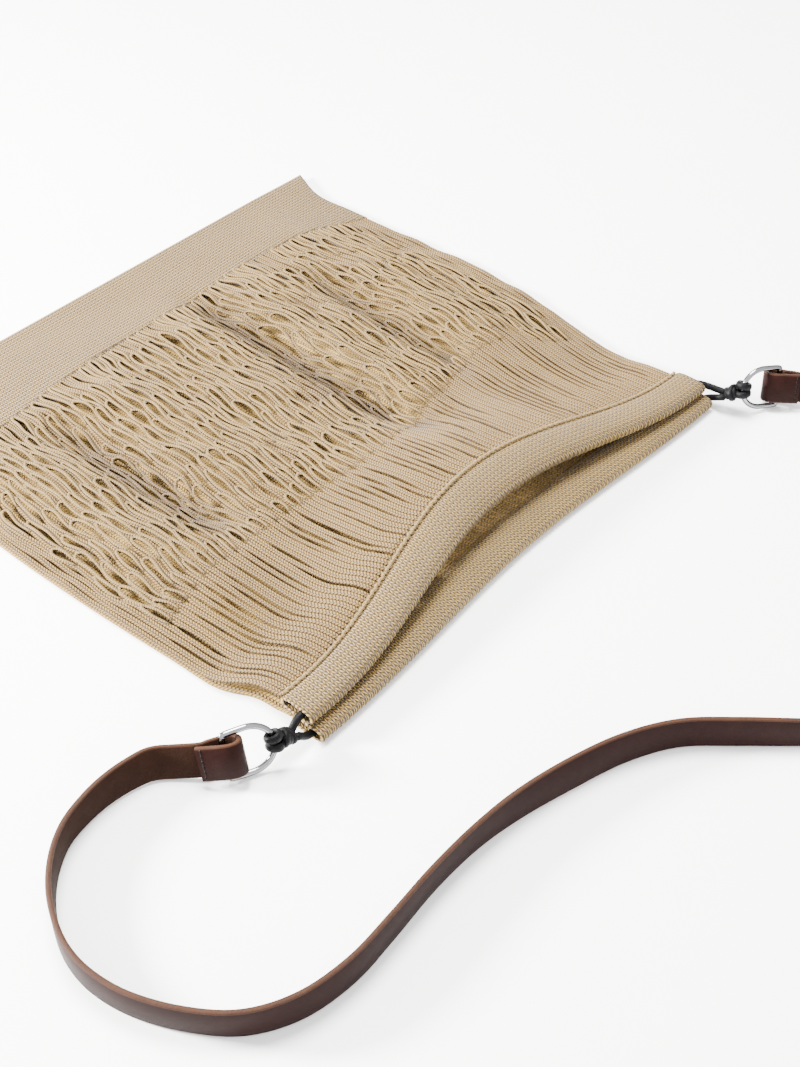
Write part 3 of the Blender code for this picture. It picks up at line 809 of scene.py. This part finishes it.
# Where the wire is seen edge-on its colour turns near black: a painted dark reflection along its edges.
grazing = steel.node_tree.nodes.new("ShaderNodeLayerWeight")
grazing.inputs["Blend"].default_value = 0.5
rim = calc(steel.node_tree, "MULTIPLY", grazing.outputs["Facing"], 1.9, clamp=True)
STEEL, STEEL_PAINTED_EDGE = (0.30, 0.30, 0.315), (0.001, 0.001, 0.001)
steel.node_tree.links.new(two_tone(steel.node_tree, rim, STEEL, STEEL_PAINTED_EDGE), shine.inputs["Base Color"])
shine.inputs["Metallic"].default_value = 1.0
shine.inputs["Roughness"].default_value = 0.14
LEFT_RING = ring_frame((-238.6, 8.7, 14.3), (0.16, 0.36, 0.92), (0.903, -0.43, 0))
RIGHT_RING = ring_frame((213.9, -42.4, 14.5), (0.26, 0.18, 0.95), (-0.889, 0.458, 0))
for name, here in (("ring_left", LEFT_RING), ("ring_right", RIGHT_RING)):
    middle, up, bow, out = here
    corner = ((0.36, 0.0), (0.44, 0.35), (0.49, 1.6))
    route = [middle + up * BAR * s for s in (0.0, 0.12, 0.24)]
    route += [middle + up * BAR * s + bow * far for s, far in corner]
    route += [bow_point(here, math.pi * k / 22) for k in range(23)]
    route += [middle - up * BAR * s + bow * far for s, far in reversed(corner)]
    route += [middle - up * BAR * s for s in (0.24, 0.12, 0.0, -0.04)]
    route = smooth_route(route, 3)
    ring = ropes(name + "_wire", route[None], WIRE, WIRE, sides=16,
                 sideways=np.broadcast_to(out, route[None].shape))
    ring.data.materials.append(steel)
    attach(ring, "root")
    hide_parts(name)

# ---- The cord and its hitches ----
# One dark waxed cord runs through each hem, and both leave at the corners and are hitched
# round the rings: two flat turns side by side, drawn together into a tight collar.
CORD = 4.5
CORD_PLACE = 0.66  # share of the way from a hem's seam to its fold
TURN_WIDE, TURN_HIGH = 5.0, 3.2
# A collar's width and height at shares of its length, from the ring to the cord's tails.
COLLAR_AT = (0, 0.12, 0.35, 0.62, 0.85, 1)
COLLAR_WIDE = (7.6, 9.2, 10.4, 9.8, 9.0, 6.6)
COLLAR_HIGH = (6.6, 8.0, 9.0, 8.2, 6.0, 3.6)

# A fine uneven skin for the cord and the leather.
grain, given, result = new_group(
    "fine_grain",
    (("Vector", "NodeSocketVector", None), ("Scale", "NodeSocketFloat", 700.0),
     ("Creases", "NodeSocketFloat", 0.5)),
    (("Height", "NodeSocketFloat"), ("Tone", "NodeSocketFloat")),
)
pores = grain.nodes.new("ShaderNodeTexVoronoi")
grain.links.new(given.outputs["Vector"], pores.inputs["Vector"])
grain.links.new(given.outputs["Scale"], pores.inputs["Scale"])
blotch = grain.nodes.new("ShaderNodeTexNoise")
blotch.inputs["Detail"].default_value = 4.0
grain.links.new(given.outputs["Vector"], blotch.inputs["Vector"])
grain.links.new(calc(grain, "MULTIPLY", given.outputs["Scale"], 0.12), blotch.inputs["Scale"])
pits = calc(grain, "MULTIPLY", pores.outputs["Distance"], given.outputs["Creases"])
uneven = calc(grain, "ADD", pits, calc(grain, "MULTIPLY", blotch.outputs["Fac"], 0.6))
grain.links.new(uneven, result.inputs["Height"])
grain.links.new(blotch.outputs["Fac"], result.inputs["Tone"])


def grained_material(name, dark, light, rough, scale, creases, depth, gloss):
    """Leather or waxed cord: a fine uneven skin in two near tones."""
    made = bpy.data.materials.new(name)
    made.use_nodes = True
    tree = made.node_tree
    skin = tree.nodes["Principled BSDF"]
    skin.inputs["Roughness"].default_value = rough
    skin.inputs["Specular IOR Level"].default_value = gloss
    place = tree.nodes.new("ShaderNodeTexCoord")
    fine = tree.nodes.new("ShaderNodeGroup")
    fine.node_tree = grain
    fine.inputs["Scale"].default_value = scale
    fine.inputs["Creases"].default_value = creases
    tree.links.new(place.outputs["Object"], fine.inputs["Vector"])
    tree.links.new(two_tone(tree, fine.outputs["Tone"], dark, light), skin.inputs["Base Color"])
    tree.links.new(relief_normal(tree, fine.outputs["Height"], 0.6, depth), skin.inputs["Normal"])
    return made


CORD_DARK, CORD_LIGHT = (0.0012, 0.0012, 0.0016), (0.0035, 0.0035, 0.0042)
cord_black = grained_material("black waxed cord", CORD_DARK, CORD_LIGHT, rough=0.5, scale=900.0,
                              creases=0.8, depth=0.25, gloss=0.075)
hitches = (
    ("left", LEFT_RING, np.array((-203.5, -3.6, 9.6)), -1),
    ("right", RIGHT_RING, np.array((187.0, -19.5, 11.0)), 1),
)
strands = {}
for side, here, tail, turn in hitches:
    apex = bow_point(here, math.pi / 2)
    wraps = []
    along_wire = []
    for bend in (-0.2, 0.2):
        centre = bow_point(here, math.pi / 2 + bend)
        ahead = bow_point(here, math.pi / 2 + bend + 0.02) - bow_point(here, math.pi / 2 + bend - 0.02)
        ahead /= np.linalg.norm(ahead)
        inward = np.cross(here[3], ahead)
        angle = np.linspace(0, 2 * np.pi, 25)[:, None]
        ray = inward * np.cos(angle) + here[3] * np.sin(angle)
        wraps.append(centre + ray * (WIRE / 2 + 0.5 + 1.5))
        along_wire.append(np.broadcast_to(ahead, ray.shape))
    turns = ropes("hitch_turns_" + side, wraps, TURN_WIDE, TURN_HIGH, sides=10, sideways=np.array(along_wire))
    start = apex + (tail - apex) / np.linalg.norm(tail - apex) * (WIRE / 2 + 2.0)
    axis = (tail - start) / np.linalg.norm(tail - start)
    beside = np.cross(axis, (0.0, 0.0, 1.0))
    beside /= np.linalg.norm(beside)
    above = np.cross(beside, axis)
    shares = np.linspace(0, 1, 9)
    core = start + (tail - start) * shares[:, None]
    core_wide = np.interp(shares, COLLAR_AT, COLLAR_WIDE)
    core_high = np.interp(shares, COLLAR_AT, COLLAR_HIGH)
    collar = ropes("hitch_collar_" + side, core[None], core_wide[None], core_high[None], sides=16,
                   sideways=np.broadcast_to(beside, core[None].shape))
    angle = np.linspace(-0.25 * np.pi, 1.25 * np.pi, 15)
    crossing = []
    for lean, share_mid in ((0.16, 0.3), (-0.2, 0.66)):
        down = share_mid + lean * np.sin(angle - np.pi / 2)
        reach = np.interp(down, shares, core_wide)[:, None] / 2
        rise = np.interp(down, shares, core_high)[:, None] / 2
        crossing.append(start + (tail - start) * down[:, None]
                        + beside * np.cos(angle)[:, None] * (reach + 0.1)
                        + above * np.sin(angle)[:, None] * (rise + 0.1))
    bands = ropes("hitch_bands_" + side, crossing, wide=3.6, high=1.8, sides=8,
                  sideways=np.broadcast_to(axis, (2, 15, 3)))
    for piece in (turns, collar, bands):
        piece.data.materials.append(cord_black)
        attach(piece, "root")
        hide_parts("hitch_" + side)
    away = (tail - apex) * np.array((1.0, 1.0, 0.0))
    away /= np.linalg.norm(away)
    apart = np.cross(away, (0.0, 0.0, turn)) * 2.75 + np.array((0, 0, 0.6))
    strands[side] = (tail + away * 0.5 + apart * 0.8, tail + away * 2.6 + apart,
                     tail + away * 0.5 - apart * 0.8, tail + away * 2.6 - apart)

for name, fold_line, seam_line, pick in (
    ("cord_front", front_fold_line, front_seam_line, 0),
    ("cord_back", back_fold_line, back_seam_line, 2),
):
    x = np.linspace(smooth_lookup(SIDES, 1, 0.0) - 2, smooth_lookup(SIDES, 2, 0.0) + 2, 31)
    fold = np.stack((x, *(np.zeros_like(x) + v for v in fold_line(x))), axis=-1)
    seam = np.stack((x, *(np.zeros_like(x) + v for v in seam_line(x))), axis=-1)
    route = [strands["left"][pick], strands["left"][pick + 1], *mix(seam, fold, CORD_PLACE),
             strands["right"][pick + 1], strands["right"][pick]]
    strand = ropes(name + "_strand", smooth_route(route, 5)[None], CORD, CORD, sides=12)
    strand.data.materials.append(cord_black)
    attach(strand, "root")
    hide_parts(name)

# ---- The strap ----
# One long strip of dark brown leather standing on its edge: smooth grain outside, flesh
# inside, tan cut edges. Each end folds round a ring's bar and is sewn down behind it.
STRAP_WIDE = 20.0
STRAP_THICK = 3.0
# The strap's lower edge on the table, as x and y, and how far its upper edge leans along x
# and y from there, from the left ring round to the right one.
STRAP_ROUTE = (
    (-263.6, 32.5, 3.3, 6),
    (-276.4, 38.2, 2.3, 4.1),
    (-291.9, 40.6, 1.5, 2.5),
    (-306.2, 40, 0.9, 1.2),
    (-320.6, 36.8, 0, -0.1),
    (-333.6, 29.4, -1.1, -1.4),
    (-345.5, 18.4, -1.5, -2.5),
    (-355.3, 4.2, -1.1, -2.5),
    (-363.1, -14, -0.4, -1.5),
    (-365.4, -34, -0.1, -0.4),
    (-361.2, -56.8, -0.4, 0.1),
    (-349.8, -81.3, -0.5, 0.3),
    (-334, -101.8, -0.3, 0.7),
    (-311.6, -115, 0, 1.2),
    (-283.8, -120.1, 0, 1.4),
    (-254.2, -118.5, 0, 0.8),
    (-222.1, -115.6, 0.1, 0),
    (-189.8, -116.2, 0.3, 0.6),
    (-159.7, -121.5, 0.8, 3),
    (-127.7, -130.6, 1.4, 4.6),
    (-97.3, -140.5, 1.2, 3.2),
    (-70.8, -155.4, 0.9, 1.6),
    (-49.4, -178.4, 1.2, 1.2),
    (-26, -205, 0.5, 0.3),
    (4, -236, -0.5, -1.1),
    (40, -264, -0.6, -2.5),
    (82, -283, -0.1, -3.6),
    (128, -289, 0.8, -3.9),
    (172, -281, 1.9, -3.4),
    (210, -258, 3, -2.4),
    (237, -222, 3.9, -1),
    (250, -178, 4.5, 0.5),
    (251, -134, 5, 2),
    (241, -95, 5.5, 3.5),
)
# Half of an end's way round the bar: how far towards the bow, and how far to the side.
END_FOLD = (
    (-13.5, 2.2),
    (-7.5, 3.6),
    (0, 5.2),
    (5.4, 4.9),
    (8.4, 2.2),
)
END_DROP = 0.4  # from the bar down to the strap end's tip


def strap_end(here, leaving, turn):
    """Middle line and edge direction of an end, from its sewn tip round the bar."""
    middle, up, _, _ = here
    ahead = -np.array(leaving, float)
    ahead -= up * np.dot(ahead, up)
    ahead /= np.linalg.norm(ahead)
    out = np.cross(up, ahead) * turn
    rows = list(END_FOLD) + [(far, -wide) for far, wide in reversed(END_FOLD)]
    made = []
    for far, wide in rows:
        lower = np.array((0, 0, END_DROP * ease(far / END_FOLD[0][0])))
        made.append((*(middle + ahead * far + out * wide - lower), *up))
    return made, ahead, out


left_end, left_ahead, left_out = strap_end(LEFT_RING, (-0.68, 0.73, 0), -1)
right_end, right_ahead, right_out = strap_end(RIGHT_RING, (0.54, -0.84, 0), 1)
strap_line = list(left_end)
for x, y, lean_x, lean_y in STRAP_ROUTE:
    up = np.array((lean_x, lean_y, math.sqrt(STRAP_WIDE**2 - lean_x**2 - lean_y**2))) / STRAP_WIDE
    strap_line.append((*(np.array((x, y, 0.0)) + up * STRAP_WIDE / 2), *up))
strap_line += reversed(right_end)
strap_line = smooth_route(strap_line, 6)
line, ups = strap_line[:, :3], strap_line[:, 3:]
run = np.gradient(line, axis=0)
ups = ups - run * (ups * run).sum(axis=1, keepdims=True) / (run**2).sum(axis=1, keepdims=True)
ups /= np.linalg.norm(ups, axis=1, keepdims=True)
facing = np.cross(run / np.linalg.norm(run, axis=1, keepdims=True), ups)
lowest = line[:, 2] - ups[:, 2] * STRAP_WIDE / 2 - np.abs(facing[:, 2]) * STRAP_THICK / 2
line = line + np.maximum(-lowest, 0)[:, None] * np.array((0, 0, 1.0))
# Section: how high and how far out each corner is, as shares of the half width and thickness.
SECTION = np.array(((-0.9, -1), (0.9, -1), (0.97, -0.75), (1, -0.2), (1, 0.2), (0.97, 0.75),
                    (0.9, 1), (-0.9, 1), (-0.97, 0.75), (-1, 0.2), (-1, -0.2), (-0.97, -0.75)))
FLESH_SIDE, GRAIN_SIDE = 0, 6
points = (line[:, None, :] + ups[:, None, :] * (SECTION[:, 0] * STRAP_WIDE / 2)[None, :, None]
          + facing[:, None, :] * (SECTION[:, 1] * STRAP_THICK / 2)[None, :, None])
number = np.arange(points[..., 0].size).reshape(points.shape[:2])
after = np.roll(number, -1, axis=1)
quads = np.stack((number[:-1], number[1:], after[1:], after[:-1]), axis=-1)
sides = np.broadcast_to(np.arange(len(SECTION)), quads.shape[:2]).reshape(-1)
faces = quads.reshape(-1, 4).tolist() + [number[0].tolist(), number[-1][::-1].tolist()]
strap = made_of("strap_leather", points, faces)
strap.data.set_sharp_from_angle(angle=math.radians(40))
for name, dark, light, rough, scale, creases, depth, gloss in (
    ("dark grain leather", (0.0070, 0.0021, 0.0017), (0.0125, 0.0042, 0.0034), 0.5, 1500.0, 0.7, 0.15, 0.04),
    ("brown flesh side", (0.009, 0.0032, 0.0015), (0.017, 0.0068, 0.0035), 0.8, 1100.0, 1.0, 0.25, 0.06),
    ("tan cut edge", (0.017, 0.0052, 0.0018), (0.034, 0.0118, 0.0042), 0.6, 900.0, 1.0, 0.2, 0.12),
):
    strap.data.materials.append(grained_material(name, dark, light, rough, scale, creases, depth, gloss))
GRAIN, FLESH, EDGE = 0, 1, 2
slots = np.where(sides == FLESH_SIDE, FLESH, np.where(sides == GRAIN_SIDE, GRAIN, EDGE)).tolist()
strap.data.polygons.foreach_set("material_index", slots + [EDGE, EDGE])
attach(strap, "root")
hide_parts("strap")

# A short column of dark waxed stitches across each end holds its fold.
STITCHES = 6
STITCH_PITCH = 3.1
STITCH_BACK = 11.3  # behind the ring's bar
STITCH_OUT = 2.75 + STRAP_THICK / 2 + 0.05  # from the fold's middle to the leather's face
THREAD_DARK, THREAD_LIGHT = (0.001, 0.0007, 0.0007), (0.003, 0.002, 0.002)
thread_dark = grained_material("dark sewing thread", THREAD_DARK, THREAD_LIGHT, rough=0.5, scale=2500.0,
                               creases=0.8, depth=0.1, gloss=0.1)
for side, here, ahead, out in (
    ("left", LEFT_RING, left_ahead, left_out),
    ("right", RIGHT_RING, right_ahead, right_out),
):
    middle, up, _, _ = here
    stitches_here = []
    for face in (out, -out):
        for k in range(STITCHES):
            centre = (middle - ahead * STITCH_BACK + face * STITCH_OUT
                      + up * (k - (STITCHES - 1) / 2) * STITCH_PITCH - np.array((0, 0, END_DROP * 0.9)))
            sunk = face * -0.35
            stitches_here.append([centre - up * 1.25 + sunk, centre - up * 0.6,
                                  centre + up * 0.6, centre + up * 1.25 + sunk])
    sewing = ropes("strap_stitches_" + side, stitches_here, wide=0.95, high=0.7, sides=6,
                   sideways=np.broadcast_to(ahead, (2 * STITCHES, 4, 3)))
    sewing.data.materials.append(thread_dark)
    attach(sewing, "root")
